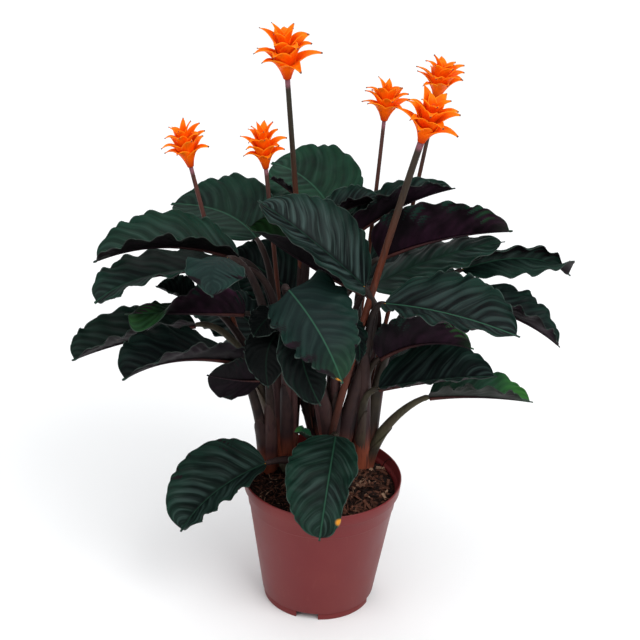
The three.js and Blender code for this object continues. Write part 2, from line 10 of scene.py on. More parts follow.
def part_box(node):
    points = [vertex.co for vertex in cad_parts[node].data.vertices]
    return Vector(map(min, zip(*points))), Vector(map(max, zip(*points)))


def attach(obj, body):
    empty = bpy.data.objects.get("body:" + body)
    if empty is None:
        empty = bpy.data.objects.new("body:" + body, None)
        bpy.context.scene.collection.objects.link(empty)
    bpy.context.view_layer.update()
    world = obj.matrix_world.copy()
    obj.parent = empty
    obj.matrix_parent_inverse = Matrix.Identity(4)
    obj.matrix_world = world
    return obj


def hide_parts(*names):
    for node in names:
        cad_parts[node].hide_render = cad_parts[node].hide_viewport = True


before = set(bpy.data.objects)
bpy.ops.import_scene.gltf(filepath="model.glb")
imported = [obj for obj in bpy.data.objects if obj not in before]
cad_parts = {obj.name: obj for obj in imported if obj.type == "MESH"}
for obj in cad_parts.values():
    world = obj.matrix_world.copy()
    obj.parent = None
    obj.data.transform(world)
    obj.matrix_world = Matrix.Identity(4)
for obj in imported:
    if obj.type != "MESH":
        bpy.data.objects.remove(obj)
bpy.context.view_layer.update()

# ---------- pot ----------
# A thin nursery pot of terracotta-coloured plastic, injection moulded in one piece: a rolled band
# round the rim, a low stacking step under it, and a slotted foot ring that keeps the floor dry.

POT_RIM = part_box("pot")[1].x
POT_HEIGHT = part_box("pot")[1].z
POT_WALL = 0.0016
RIM_BAND = 0.011
BODY_TOP = 0.0665
SHOULDER_HEIGHT = 0.097
BODY_FOOT = 0.050
FOOT_RADIUS = 0.0485
FOOT_HEIGHT = 0.007
FLOOR_TOP = 0.009
SLOT_COUNT = 4
SLOT_WIDTH = 0.020
SLOT_TURN = math.radians(-100)
DRAIN_HOLES = 6
DRAIN_RADIUS = 0.005
DRAIN_CIRCLE = 0.030
POT_STEPS = 128


def tint(code):
    """A colour written as #rrggbb, as the linear colour that a shader takes."""
    parts = [int(code[i:i + 2], 16) / 255 for i in (1, 3, 5)]
    return (*[p / 12.92 if p < 0.04045 else ((p + 0.055) / 1.055) ** 2.4 for p in parts], 1.0)


class Wire:
    """An output of a material's node. Arithmetic on wires adds Math nodes to the material."""

    def __init__(self, tree, socket=None):
        self.tree = tree
        self.socket = socket

    def node(self, kind, settings, inputs, output=0):
        """Adds a node: first its settings, then a value or a wire for each input."""
        made = self.tree.nodes.new(kind)
        for name, value in settings.items():
            setattr(made, name, value)
        for name, value in inputs.items():
            if isinstance(value, Wire):
                self.tree.links.new(value.socket, made.inputs[name])
            else:
                made.inputs[name].default_value = value
        return Wire(self.tree, made.outputs[output])

    def math(self, operation, *values):
        return self.node("ShaderNodeMath", {"operation": operation}, dict(enumerate(values)))

    def __add__(self, other):
        return self.math("ADD", self, other)

    def __sub__(self, other):
        return self.math("SUBTRACT", self, other)

    def __rsub__(self, other):
        return self.math("SUBTRACT", other, self)

    def __mul__(self, other):
        return self.math("MULTIPLY", self, other)

    __radd__ = __add__
    __rmul__ = __mul__

    def rise(self, low, high):
        """0 at low and 1 at high, with a smooth rise between them."""
        sockets = {"Value": self, "From Min": low, "From Max": high}
        return self.node("ShaderNodeMapRange", {"interpolation_type": "SMOOTHSTEP"}, sockets)

    def mix(self, start, end):
        """The colour start where this wire is 0, and end where it is 1."""
        return self.node("ShaderNodeMix", {"data_type": "RGBA"}, {0: self, 6: start, 7: end}, 2)

    def marked(self, name):
        """The number that the mesh carries under this name."""
        return self.node("ShaderNodeAttribute", {"attribute_name": name}, {}, "Fac")

    def place(self, stretch=(1, 1, 1)):
        """The place on the object, stretched along each axis."""
        where = self.node("ShaderNodeTexCoord", {}, {}, "Object")
        return where.node("ShaderNodeVectorMath", {"operation": "MULTIPLY"}, {0: where, 1: stretch})

    def spots(self, scale, detail=2.0):
        """Noise of this scale over a vector."""
        return self.node("ShaderNodeTexNoise", {}, {"Vector": self, "Scale": scale, "Detail": detail})

    def feed(self, surface, socket):
        self.tree.links.new(self.socket, surface.inputs[socket])

    def raise_surface(self, surface, strength, distance):
        """This wire is a height, and it bends the surface's normal."""
        sockets = {"Strength": strength, "Distance": distance, "Height": self}
        self.node("ShaderNodeBump", {}, sockets).feed(surface, "Normal")


def new_finish(name, constants):
    """A material, the wire that its pattern starts from, and its surface shader."""
    material = bpy.data.materials.new(name)
    material.use_nodes = True
    surface = material.node_tree.nodes["Principled BSDF"]
    for socket, value in constants.items():
        surface.inputs[socket].default_value = value
    return material, Wire(material.node_tree), surface


def placed(bm, name):
    """The bmesh as an object of the scene."""
    mesh = bpy.data.meshes.new(name)
    bm.to_mesh(mesh)
    bm.free()
    piece = bpy.data.objects.new(name, mesh)
    bpy.context.scene.collection.objects.link(piece)
    return piece


def finished(bm, name, materials, slot, *nodes):
    """The bmesh as a smooth piece of the plant that stands for the nodes."""
    piece = placed(bm, name)
    piece.data.shade_smooth()
    for material in materials:
        piece.data.materials.append(material)
    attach(piece, "root")
    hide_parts(*nodes)
    return piece


def turned(bm, outline, steps):
    """The outline of (radius, height) points, turned once round the upright axis."""
    corners = [bm.verts.new((radius, 0, height)) for radius, height in outline]
    edges = [bm.edges.new(pair) for pair in zip(corners, corners[1:])]
    bmesh.ops.spin(bm, geom=corners + edges, axis=(0, 0, 1), cent=(0, 0, 0), angle=2 * math.pi,
                   steps=steps, use_merge=True)
    bmesh.ops.remove_doubles(bm, verts=bm.verts, dist=1e-6)
    bmesh.ops.recalc_face_normals(bm, faces=bm.faces)


def rounded(bm, angle, size, segments):
    """Rounds every edge that is sharper than the angle."""
    sharp = [e for e in bm.edges if e.is_manifold and e.calc_face_angle() > math.radians(angle)]
    bmesh.ops.bevel(bm, geom=sharp, affect="EDGES", offset=size, segments=segments,
                    profile=0.5, material=-1, clamp_overlap=True)


def pot_shell():
    """The wall, rim and floor."""
    band_foot = POT_HEIGHT - RIM_BAND
    bm = bmesh.new()
    turned(bm, [
        (0, FLOOR_TOP),
        (BODY_FOOT - POT_WALL, FLOOR_TOP),
        (BODY_TOP - POT_WALL, band_foot),
        (POT_RIM - 0.0026, band_foot + 0.002),
        (POT_RIM - POT_WALL, POT_HEIGHT - 0.001),
        (POT_RIM - POT_WALL / 2, POT_HEIGHT),
        (POT_RIM, POT_HEIGHT - 0.001),
        (POT_RIM - 0.001, band_foot),
        (BODY_TOP, band_foot),
        (BODY_TOP - 0.0016, SHOULDER_HEIGHT + 0.0006),
        (BODY_TOP - 0.0024, SHOULDER_HEIGHT),
        (BODY_FOOT, FOOT_HEIGHT),
        (FOOT_RADIUS, FOOT_HEIGHT - 0.0006),
        (FOOT_RADIUS - POT_WALL, FOOT_HEIGHT - 0.0003),
        (0, FOOT_HEIGHT),
    ], POT_STEPS)
    rounded(bm, 22, 0.0003, 2)
    return bm


def foot_arc(bm, start, sweep_angle):
    """One stretch of the foot ring between two slots."""
    inner, outer = FOOT_RADIUS - POT_WALL, FOOT_RADIUS
    corners = [(inner, 0), (outer, 0), (outer, FOOT_HEIGHT), (inner, FOOT_HEIGHT)]
    turn = Matrix.Rotation(start, 3, "Z")
    ring = [bm.verts.new(turn @ Vector((r, 0, z))) for r, z in corners]
    cap = bm.faces.new(ring)
    bmesh.ops.spin(bm, geom=[cap, *cap.edges, *cap.verts], axis=(0, 0, 1), cent=(0, 0, 0),
                   angle=sweep_angle, steps=24)


def drilled(piece):
    """Cuts the drain holes through the pot's floor."""
    bm = bmesh.new()
    for k in range(DRAIN_HOLES):
        turn = Matrix.Rotation(2 * math.pi * k / DRAIN_HOLES, 4, "Z")
        place = Matrix.Translation((DRAIN_CIRCLE, 0, FLOOR_TOP))
        bmesh.ops.create_cone(bm, cap_ends=True, segments=32, radius1=DRAIN_RADIUS,
                              radius2=DRAIN_RADIUS, depth=FLOOR_TOP, matrix=turn @ place)
    drill = placed(bm, "drill")
    cut = piece.modifiers.new("drain holes", "BOOLEAN")
    cut.object = drill
    cut.solver = "EXACT"
    bpy.context.view_layer.update()
    whole = piece.evaluated_get(bpy.context.evaluated_depsgraph_get())
    drained = bpy.data.meshes.new_from_object(whole)
    piece.modifiers.clear()
    piece.data = drained
    bpy.data.objects.remove(drill)


def terracotta_plastic():
    """Satin moulded plastic, a little paler where it is scuffed and dusty."""
    material, start, surface = new_finish("terracotta plastic", {"Specular IOR Level": 0.18})
    cloud = start.place().spots(16, 4).rise(0.35, 0.7)
    scuff = start.place((1, 1, 0.25)).spots(240, 3).rise(0.6, 0.78)
    worn = cloud * 0.3 + scuff * 0.22
    worn.mix(tint("#6d2527"), tint("#803e3a")).feed(surface, "Base Color")
    (cloud * 0.12 + 0.38).feed(surface, "Roughness")
    start.place().spots(900, 2).raise_surface(surface, 0.12, 0.0003)
    return material


terracotta = terracotta_plastic()
drilled(finished(pot_shell(), "pot_shell", [terracotta], "pot", "pot"))
foot = bmesh.new()
slot_half = math.asin(SLOT_WIDTH / 2 / FOOT_RADIUS)
for k in range(SLOT_COUNT):
    foot_start = SLOT_TURN + 2 * math.pi * k / SLOT_COUNT + slot_half
    foot_arc(foot, foot_start, 2 * math.pi / SLOT_COUNT - 2 * slot_half)
bmesh.ops.recalc_face_normals(foot, faces=foot.faces)
rounded(foot, 40, 0.0003, 2)
finished(foot, "pot_foot", [terracotta], "pot", "pot")

# ---------- soil ----------
# Potting mix of bark and coir: a dark crumb that rises towards the stalks, finer on the left, with
# red-brown chips and thin fibres lying on it in every direction, some of them bleached.

SOIL_EDGE = 0.110
SOIL_RISE = 0.010
SOIL_RADIUS = 0.0645
SOIL_FOOT = 0.0479
SOIL_MIDDLE = Vector((0, 0.008, 0))
CHIP_COUNT = 900
STRAND_COUNT = 620
STRAND_STEPS = 5
SOIL_RINGS = 40
SOIL_STEPS = 120


def soil_height(x, y):
    reach = math.hypot(x - SOIL_MIDDLE.x, y - SOIL_MIDDLE.y) / SOIL_RADIUS
    lumps = 0.0022 * noise.noise(Vector((x, y, 0)) * 90)
    lumps += 0.0012 * noise.noise(Vector((x, y, 3)) * 260)
    edge = max(0.0, 1 - (math.hypot(x, y) / SOIL_RADIUS) ** 6)
    return SOIL_EDGE + SOIL_RISE * max(0.0, 1 - reach ** 2) * edge + lumps * edge


def soil_bed():
    bm = bmesh.new()
    top = [(SOIL_RADIUS * k / SOIL_RINGS, SOIL_EDGE) for k in range(SOIL_RINGS + 1)]
    turned(bm, [*top, (SOIL_FOOT, FLOOR_TOP + 0.0003), (0, FLOOR_TOP + 0.0003)], SOIL_STEPS)
    for vert in bm.verts:
        if vert.co.z > SOIL_EDGE - 0.001:
            vert.co.z = soil_height(vert.co.x, vert.co.y)
    return bm


def scattered(stream, margin):
    """A random place on the soil that keeps this far from the pot's wall."""
    reach = (SOIL_RADIUS - margin) * math.sqrt(stream.random())
    turn = stream.uniform(0, 2 * math.pi)
    return reach * math.cos(turn), reach * math.sin(turn)


def chips(stream):
    """Splinters of bark and husk, each a box knocked out of square."""
    bm = bmesh.new()
    shade = bm.verts.layers.float.new("shade")
    for _ in range(CHIP_COUNT):
        x, y = scattered(stream, 0.004)
        coarse = 0.55 + 0.45 * min(1, max(0, x / 0.03))
        size = Vector((stream.uniform(0.002, 0.012) * coarse, stream.uniform(0.001, 0.0032) * coarse,
                       stream.uniform(0.0007, 0.002) * coarse))
        turn = Matrix.Rotation(stream.uniform(0, math.pi), 4, "Z")
        turn = turn @ Matrix.Rotation(stream.gauss(0, 0.35), 4, "X")
        turn = turn @ Matrix.Rotation(stream.gauss(0, 0.3), 4, "Y")
        height = soil_height(x, y) + size.z * stream.uniform(0.0, 0.8)
        place = Matrix.Translation((x, y, height)) @ turn @ Matrix.Diagonal((*size, 1))
        tone = stream.random()
        for vert in bmesh.ops.create_cube(bm, size=1.0, matrix=place)["verts"]:
            vert.co += 0.0009 * coarse * Vector([stream.uniform(-0.5, 0.5) for _ in range(3)])
            vert[shade] = tone
    return bm


def sweep(bm, path, radii, sides, marks):
    """A round stem: a ring is drawn out from point to point and closed at both ends. marks gives
    each mesh layer's values, one for each point."""
    headings = [(b - a).normalized() for a, b in zip(path, path[1:])]
    headings.append(headings[-1])
    turn = Vector((0, 0, 1)).rotation_difference(headings[0])
    before = None
    edges = []
    everything = []
    for i, (point, radius, heading) in enumerate(zip(path, radii, headings)):
        if i:
            turn = headings[i - 1].rotation_difference(heading) @ turn
        place = Matrix.LocRotScale(point, turn, Vector((radius, radius, radius)))
        if i == 0:
            ring = bmesh.ops.create_circle(bm, segments=sides, radius=1.0, matrix=place)["verts"]
            edges = list({e for v in ring for e in v.link_edges})
            ends = list(edges)
        else:
            drawn = bmesh.ops.extrude_edge_only(bm, edges=edges)["geom"]
            ring = [g for g in drawn if isinstance(g, bmesh.types.BMVert)]
            bmesh.ops.transform(bm, matrix=place @ before.inverted(), verts=ring)
            fresh = set(ring)
            edges = [g for g in drawn if isinstance(g, bmesh.types.BMEdge)
                     and g.verts[0] in fresh and g.verts[1] in fresh]
        for vert in ring:
            for layer, values in marks.items():
                vert[layer] = values[i]
        everything += ring
        before = place
    bmesh.ops.holes_fill(bm, edges=ends + edges, sides=0)
    return list({f for v in everything for f in v.link_faces})


def strand(bm, shade, path, thick, tone):
    """One fibre, thin at both ends."""
    last = len(path) - 1
    radii = [thick * (0.35 + 0.65 * math.sin(math.pi * k / last)) for k in range(last + 1)]
    sweep(bm, path, radii, 4, {shade: [tone] * (last + 1)})


def strands(stream):
    """Coir fibres that lie over the crumb in arcs, and two stray roots that stand out of it."""
    bm = bmesh.new()
    shade = bm.verts.layers.float.new("shade")
    for _ in range(STRAND_COUNT):
        length = stream.uniform(0.004, 0.017)
        x, y = scattered(stream, 0.004 + length / 2)
        turn = stream.uniform(0, 2 * math.pi)
        bend = stream.uniform(-1.3, 1.3)
        thick = stream.uniform(0.0002, 0.00055)
        hump = stream.uniform(0.0002, 0.0016)
        path = []
        for k in range(STRAND_STEPS):
            share = k / (STRAND_STEPS - 1) - 0.5
            turned_to = turn + bend * share
            px = x + math.cos(turned_to) * length * share
            py = y + math.sin(turned_to) * length * share
            lift = thick + hump * (1 - 4 * share * share)
            path.append(Vector((px, py, soil_height(px, py) + lift)))
        strand(bm, shade, path, thick, stream.random())
    for x, y, way in ((0.052, 0.030, 1), (-0.050, 0.034, -1)):
        path = [Vector((x + way * 0.0035 * k, y, 0.111 + 0.012 * math.sin(0.75 * k))) for k in range(5)]
        strand(bm, shade, path, 0.0005, 0.02)
    bmesh.ops.recalc_face_normals(bm, faces=bm.faces)
    return bm


def coir_crumb():
    material, start, surface = new_finish("coir crumb", {"Specular IOR Level": 0.1, "Roughness": 0.95})
    grain = start.place().spots(520, 5)
    clod = start.place().spots(120, 3).rise(0.4, 0.65)
    crumb = grain.rise(0.4, 0.72).mix(tint("#160e0c"), tint("#462d24"))
    (clod * 0.5).mix(crumb, tint("#150c0b")).feed(surface, "Base Color")
    grain.raise_surface(surface, 0.9, 0.002)
    return material


def bark():
    """Each chip and fibre has a shade of its own, from near black over red-brown to bleached."""
    material, start, surface = new_finish("bark", {"Specular IOR Level": 0.15, "Roughness": 0.85})
    shade = start.marked("shade")
    grain = start.place().spots(700, 3)
    warm = shade.rise(0.15, 0.85).mix(tint("#1d1310"), tint("#643f31"))
    pale = shade.rise(0.88, 1.0).mix(warm, tint("#9c7c66"))
    (grain.rise(0.45, 0.75) * 0.6).mix(pale, tint("#1b0f0c")).feed(surface, "Base Color")
    grain.raise_surface(surface, 0.6, 0.001)
    return material


soil_random = random.Random(11)
bark_finish = bark()
finished(soil_bed(), "soil_bed", [coir_crumb()], "soil", "soil")
finished(chips(soil_random), "bark_chips", [bark_finish], "soil", "soil").data.shade_flat()
finished(strands(soil_random), "coir_strands", [bark_finish], "soil", "soil")

# ---------- leaf blades ----------
# Each leaf is a soft, waved blade, folded along its midrib and pleated between its side veins.
# It is dark green above, with dull silver streaks between the veins, and burgundy below, with a
# thin pale margin all round. The midrib stands out below as a round ridge.

SHOOTS = {
    "edge": (-0.047, 0.024),
    "left": (-0.032, 0.032),
    "inner": (-0.004, 0.020),
    "middle": (0.010, 0.028),
    "right": (0.032, 0.032),
    "back": (0.002, 0.040),
}


def blade_of(name, shoot, base, mid, tip, width, fold, **more):
    """A leaf. base, mid and tip are points of its midrib, and roll turns it about that, with twist
    for the tip. fold and curl, in degrees, are for the (left, right) half seen from the base: fold
    lifts it at the midrib, and curl bends it on to the margin. halves are their shares of the width.
    skew moves the widest place, full blunts the tip, back sweeps the base back, and bite is a bay in
    the margin: (half, place, size, depth). wave is the height of the margin's waves, lobes their
    number, and ruffle the share of the scallops. arch and olive are the stalk's. silver streaks,
    fresh green, pale teal, a pale midrib and purple below have strengths, and so has green_tip.
    So has the darkening, which is partly the leaf's own deep colour and partly painted shade on
    leaves deep in the plant. burnt is a dry spot: (place, side, size)."""
    return dict(name=name, shoot=shoot, base=base, mid=mid, tip=tip, width=width, fold=fold, **more)


LEAVES = [
    blade_of("back_top", "back", (0.004, 0.06, 0.34), (-0.022, 0.092, 0.362), (-0.057, 0.122, 0.366),
             0.084, (10, 15), roll=-15, curl=(-15, 10), silver=0.3, fresh=0.5, midrib=0.5),
    blade_of("upper_left", "left", (-0.065, 0.036, 0.333), (-0.096, 0.066, 0.342),
             (-0.143, 0.096, 0.334), 0.08, (15, 20), roll=-18, silver=0.25, fresh=0.2, midrib=0.5),
    blade_of("left_high", "left", (-0.078, -0.01, 0.336), (-0.138, -0.018, 0.348),
             (-0.196, -0.026, 0.334), 0.074, (38, 28), skew=0.95, full=0.4, silver=0.35, fresh=0.2,
             midrib=0.1, ruffle=1.5),
    blade_of("left_mid", "left", (-0.077, -0.02, 0.332), (-0.148, -0.042, 0.332),
             (-0.191, -0.06, 0.314), 0.077, (5, 20), roll=20, twist=-20, full=0.42, halves=(1, 1.12),
             silver=0.3, fresh=0.1, midrib=0.4),
    blade_of("left_small", "left", (-0.084, -0.055, 0.358), (-0.094, -0.075, 0.358),
             (-0.094, -0.083, 0.336), 0.054, (-10, -10), lobes=3, silver=0.3, pale=0.45, midrib=0.0,
             ruffle=0),
    blade_of("centre_high", "middle", (0.028, -0.015, 0.317), (-0.017, -0.018, 0.359),
             (-0.063, 0.005, 0.382), 0.08, (18, 35), roll=-5, wave=0.0015, silver=1.0, midrib=0.2),
    blade_of("centre_behind", "middle", (0.027, 0.004, 0.302), (-0.017, 0.008, 0.323),
             (-0.073, 0.014, 0.356), 0.064, (72, 10), twist=-70, skew=1.1, full=0.4, silver=0.2,
             dark=0.5, green_tip=0.5),
    blade_of("right_high", "right", (0.041, 0.047, 0.314), (0.096, 0.043, 0.338), (0.152, 0.038, 0.349),
             0.072, (40, 45), roll=-35, skew=0.6, full=0.42, halves=(0.72, 1.12), purple=0.6, olive=0.3,
             green_tip=0.25),
    blade_of("right_upper", "right", (0.036, 0.015, 0.303), (0.088, 0.022, 0.328),
             (0.145, 0.024, 0.346), 0.084, (0, 6), curl=(-20, 0), skew=0.7, full=0.45, halves=(1.2, 1),
             silver=0.6, fresh=0.15, midrib=0.2),
    blade_of("right_far", "right", (0.112, 0.04, 0.31), (0.167, 0.055, 0.316), (0.209, 0.07, 0.294),
             0.046, (35, -10), twist=-140, curl=(150, 0), full=0.35, halves=(0.75, 1.1), arch=0.35,
             silver=0.3, fresh=0.1),
    blade_of("right_front", "right", (0.045, -0.03, 0.31), (0.097, -0.075, 0.326),
             (0.149, -0.122, 0.333), 0.078, (35, 5), wave=0.003, halves=(1, 0.62), arch=0.12,
             silver=0.5, ruffle=1.6, midrib=0.7),
    blade_of("right_outer", "right", (0.116, 0.024, 0.289), (0.163, 0.02, 0.275), (0.199, 0.015, 0.252),
             0.058, (30, 45), halves=(1, 0.85), arch=0.4, silver=0.3, olive=0.5),
    blade_of("left_outer", "left", (-0.114, 0.006, 0.263), (-0.172, -0.018, 0.257),
             (-0.212, -0.05, 0.254), 0.064, (45, 30), full=0.45, silver=0.3, fresh=0.15, dark=0.45,
             olive=0.7),
    blade_of("left_low", "edge", (-0.077, -0.028, 0.248), (-0.125, -0.07, 0.27),
             (-0.164, -0.102, 0.267), 0.076, (42, 18), skew=0.8, full=0.42, halves=(1, 1.12), arch=0.05,
             silver=0.3, dark=0.6),
    blade_of("right_under", "right", (0.045, 0.002, 0.241), (0.082, -0.008, 0.263),
             (0.123, -0.014, 0.262), 0.066, (50, 45), roll=-30, purple=0.25, olive=0.4, green_tip=0.6),
    blade_of("right_low", "right", (0.045, 0.0, 0.212), (0.097, -0.01, 0.229), (0.144, -0.02, 0.24),
             0.074, (35, 25), wave=0.0015, silver=0.5, purple=0.3, olive=0.6),
    blade_of("right_lowest", "right", (0.09, 0.01, 0.2), (0.133, 0.005, 0.206), (0.179, 0.0, 0.205),
             0.062, (25, 45), arch=0.12, purple=0.2, fresh=0.6, olive=1, green_tip=1.0),
    blade_of("front_centre", "middle", (-0.034, -0.052, 0.33), (-0.007, -0.082, 0.307),
             (0.013, -0.098, 0.271), 0.086, (-12, -20), roll=25, curl=(-10, -40), skew=0.6,
             halves=(1, 0.75), back=0.022, arch=0.12, silver=0.2, pale=0.3, midrib=0.6, ruffle=1.3,
             burnt=(0.96, 0.6, 0.03), green_tip=0.15),
    blade_of("left_inner", "left", (-0.072, -0.005, 0.282), (-0.116, -0.022, 0.289),
             (-0.169, -0.042, 0.296), 0.062, (78, 0), twist=-180, full=0.3, halves=(1, 0.4), purple=1.0,
             silver=0.3, green_tip=0.45),
    blade_of("left_curl", "left", (-0.115, 0.019, 0.28), (-0.132, 0.017, 0.286), (-0.149, 0.015, 0.294),
             0.036, (25, 75), wave=0.0015, lobes=4, halves=(1.4, 1), silver=0.2, dark=0.3),
    blade_of("inner_low_left", "edge", (-0.054, -0.018, 0.226), (-0.076, -0.036, 0.235),
             (-0.1, -0.048, 0.245), 0.046, (5, 5), roll=75, wave=0.001, lobes=4, arch=0.1, ruffle=0.25,
             purple=0.3, dark=0.7),
    blade_of("front_hanging_left", "left", (-0.039, -0.027, 0.281), (-0.05, -0.047, 0.269),
             (-0.048, -0.057, 0.24), 0.042, (0, 0), wave=0.001, lobes=4, arch=0.02, silver=0.0,
             dark=0.95, midrib=0.1, olive=0.1),
    blade_of("front_inner_left", "left", (-0.04, -0.03, 0.301), (-0.053, -0.041, 0.295),
             (-0.062, -0.048, 0.283), 0.038, (0, 0), wave=0.001, lobes=4, silver=0.0, dark=0.95,
             midrib=0.1),
    blade_of("front_hanging", "middle", (-0.024, -0.046, 0.298), (-0.02, -0.066, 0.271),
             (-0.004, -0.077, 0.237), 0.046, (5, 5), wave=0.0015, lobes=4, arch=0.05, silver=0.1,
             dark=0.65, midrib=0.2),
    blade_of("inner_right", "middle", (0.017, -0.02, 0.288), (0.025, -0.024, 0.271),
             (0.027, -0.026, 0.251), 0.026, (5, 5), wave=0.001, lobes=3, silver=0.1, dark=0.2),
    blade_of("front_low", "inner", (0.01, -0.012, 0.169), (0.005, -0.062, 0.152), (0.0, -0.086, 0.11),
             0.062, (10, 10), wave=0.002, full=0.42, halves=(0.8, 1.2), silver=0.6, fresh=0.15,
             midrib=0.5, olive=0.5, burnt=(0.82, -1.0, 0.035), bite=(0, 0.62, 0.2, 0.2)),
    blade_of("front_young", "inner", (-0.005, 0.0, 0.149), (-0.016, -0.008, 0.165),
             (-0.026, -0.012, 0.172), 0.022, (30, 30), wave=0.001, lobes=3, silver=0.0, fresh=1.0,
             green_tip=1.0),
    blade_of("left_lowest", "inner", (-0.05, -0.01, 0.137), (-0.093, -0.026, 0.115),
             (-0.121, -0.046, 0.086), 0.09, (53, 35), roll=-25, wave=0.002, full=0.4,
             halves=(1.25, 0.92), silver=0.7, fresh=0.1),
    blade_of("back_right", "back", (0.012, 0.046, 0.33), (0.055, 0.05, 0.362), (0.102, 0.055, 0.379),
             0.052, (45, 60), halves=(0.9, 1)),
    blade_of("back_strip", "back", (-0.01, 0.05, 0.344), (0.015, 0.052, 0.359), (0.041, 0.054, 0.364),
             0.04, (45, 45), wave=0.0015, lobes=4),
    blade_of("back_small", "left", (-0.031, 0.054, 0.365), (-0.044, 0.062, 0.371),
             (-0.056, 0.068, 0.375), 0.03, (10, 10), roll=40, wave=0.001, lobes=3, arch=0.1),
    blade_of("back_left", "back", (-0.055, 0.062, 0.222), (-0.09, 0.08, 0.242), (-0.13, 0.092, 0.244),
             0.074, (15, 15), roll=-25),
    blade_of("back_centre", "back", (-0.03, 0.06, 0.268), (-0.06, 0.07, 0.286), (-0.09, 0.078, 0.298),
             0.06, (10, 10), roll=-35),
    blade_of("back_mid_right", "back", (0.024, 0.086, 0.268), (0.066, 0.096, 0.276),
             (0.118, 0.106, 0.262), 0.072, (15, 15), roll=25, halves=(1, 0.6)),
    blade_of("back_low_right", "back", (0.06, 0.052, 0.205), (0.075, 0.094, 0.205),
             (0.105, 0.113, 0.175), 0.07, (10, 10)),
    blade_of("back_low_left", "back", (-0.04, 0.065, 0.2), (-0.08, 0.09, 0.2), (-0.112, 0.115, 0.172),
             0.07, (10, 10)),
]

BLADE_THICK = 0.0006
BLADE_LENGTHS = 96
BLADE_WIDTHS = 36
WIDEST = 0.85
TIP_FULLNESS = 0.6
DRIP_TIP = 0.03
TWIST_LATE = 5
LOBES = 5
VEINS = 10
VEIN_SWEEP = (0.17, 0.13)
PLEAT = 0.0006
SCALLOP = 0.0009
ARCS_MEAN = 1.27
RIDGE_RADIUS = 0.0017
RIDGE_STEPS = 24
RIDGE_END = 0.97
# Default strength of each look. The darkening is partly the leaf's own deep colour and partly painted shade
# on leaves deep in the plant.
LOOKS = {"silver": 0.4, "fresh": 0.0, "pale": 0.0, "dark": 0.0, "midrib": 0.3, "purple": 0.15,
         "green_tip": 0.0, "burn": 0.0}


def arc_at(start, mid, end, t):
    """The place and the way on, at share t of the arc through three points."""
    pull = 2 * mid - 0.5 * start - 0.5 * end
    place = (1 - t) ** 2 * start + 2 * t * (1 - t) * pull + t * t * end
    way = (1 - t) * (pull - start) + t * (end - pull)
    return place, way.normalized()


def midrib_at(leaf, t):
    return arc_at(Vector(leaf["base"]), Vector(leaf["mid"]), Vector(leaf["tip"]), t)


def half_width(leaf, t, which):
    """The width of the left (0) or right (1) half at share t of the blade's length."""
    body = min(1, t / (1 - DRIP_TIP)) ** leaf.get("skew", WIDEST)
    fullness = 0.5 + (leaf.get("full", TIP_FULLNESS) - 0.5) * t
    share = max(max(0, math.sin(math.pi * body)) ** fullness, 0.1 if t < 0.5 else DRIP_TIP)
    bitten, at, size, depth = leaf.get("bite", (0, 0, 1, 0))
    if which == bitten:
        share *= 1 - depth * math.exp(-((t - at) / size) ** 4)
    return leaf["width"] / 2 * share * leaf.get("halves", (1, 1))[which]


def blade_frame(leaf, t):
    """The midrib's place, its heading, and the ways to the right margin and up."""
    place, along = midrib_at(leaf, t)
    heading = Vector(leaf["tip"]) - Vector(leaf["base"])
    level = heading.cross(Vector((0, 0, 1)))
    side = (level - along * level.dot(along)).normalized()
    turn = leaf.get("roll", 0) + leaf.get("twist", 0) * t ** TWIST_LATE
    side.rotate(Quaternion(along, math.radians(turn)))
    return place, along, side, side.cross(along)


def vein_count(leaf, t, across):
    """How many side veins lie between the blade's base and this point, with a slight wander."""
    half, s = (-1 if across < 0 else 1), abs(across)
    start = 40 * leaf["width"] + 2 * half
    wander = 0.3 * math.sin(9 * t + start) + 0.05 * math.sin(23 * t + 4 * s + 2 * start)
    return VEINS * (t - VEIN_SWEEP[0] * s - VEIN_SWEEP[1] * s * s) + wander


def blade_point(leaf, frame_at, t, across):
    """A point of the blade: across runs from -1 on the left margin to 1 on the right one."""
    place, along, side, normal = frame_at
    half, s = (-1 if across < 0 else 1), abs(across)
    which = 0 if half < 0 else 1
    fold = math.radians(leaf["fold"][which])
    curl = math.radians(leaf.get("curl", (0, 0))[which] or 0.01)
    reach = half_width(leaf, t, which)
    lean = fold + curl * s
    fade = math.sqrt(max(0.0, math.sin(math.pi * t))) * min(1, leaf["width"] / 0.06)
    veins = vein_count(leaf, t, across)
    arcs = 2 * abs(math.sin(math.pi * veins)) - ARCS_MEAN
    swell = 0.6 + 0.4 * math.sin(14 * t + 3 * s + 90 * leaf["width"] + half)
    ruffle = leaf.get("ruffle", 1) * swell
    reach += SCALLOP * 1.4 * ruffle * fade * s ** 6 * arcs
    out = reach * (math.sin(lean) - math.sin(fold)) / curl
    lift = reach * (math.cos(fold) - math.cos(lean)) / curl
    swing = 2 * math.pi * leaf.get("lobes", LOBES) * t + (math.pi if half < 0 else 0)
    rise = leaf.get("wave", 0.0025) * s * s * math.sqrt(max(0, math.sin(math.pi * t))) * math.cos(swing)
    ridges = (1 - s) * -math.cos(2 * math.pi * veins) + s * arcs
    rise += PLEAT * fade * min(1, 6 * s) * (0.7 * swell + 1.8 * ruffle * s ** 3) * ridges
    back = leaf.get("back", 0) * s * s * (1 - t) ** 4 * min(1, t * 12)
    return (place + side * half * (out - rise * math.sin(lean))
            + normal * (lift + rise * math.cos(lean)) - along * back)


